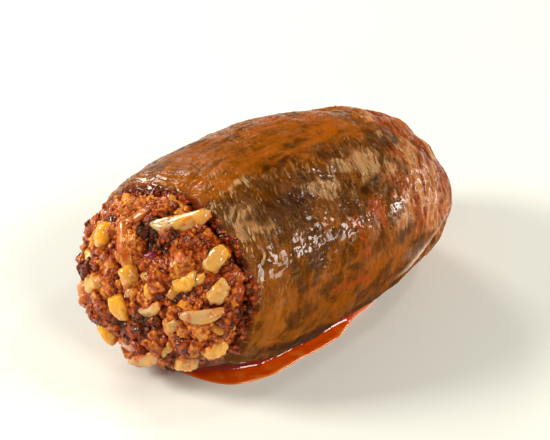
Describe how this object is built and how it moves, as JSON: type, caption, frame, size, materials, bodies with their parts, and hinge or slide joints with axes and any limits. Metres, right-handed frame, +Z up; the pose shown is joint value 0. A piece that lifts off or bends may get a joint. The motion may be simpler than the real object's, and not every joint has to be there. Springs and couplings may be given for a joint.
{
  "type": "stuffed eggplant",
  "caption": "Cooked stuffed eggplant lying on its side: a thin, wrinkled, oily brown skin closed at one end, with mince and rice filling heaped out of the open end.",
  "frame": {"origin": "under the middle of the bounding box, on the surface the eggplant lies on", "axes": "+X along the eggplant towards its closed tip, +Z up, the open end with the heaped filling towards -X"},
  "size_m": [0.0754, 0.048, 0.036],
  "materials": {
    "cooked_skin": "oily, wrinkled, translucent brown",
    "mince_and_rice": "moist crumbs with glossy grains",
    "oil_sauce": "clear orange-red oil"
  },
  "bodies": {
    "root": {"skin": "cooked_skin", "filling": "mince_and_rice"}
  },
  "joints": []
}
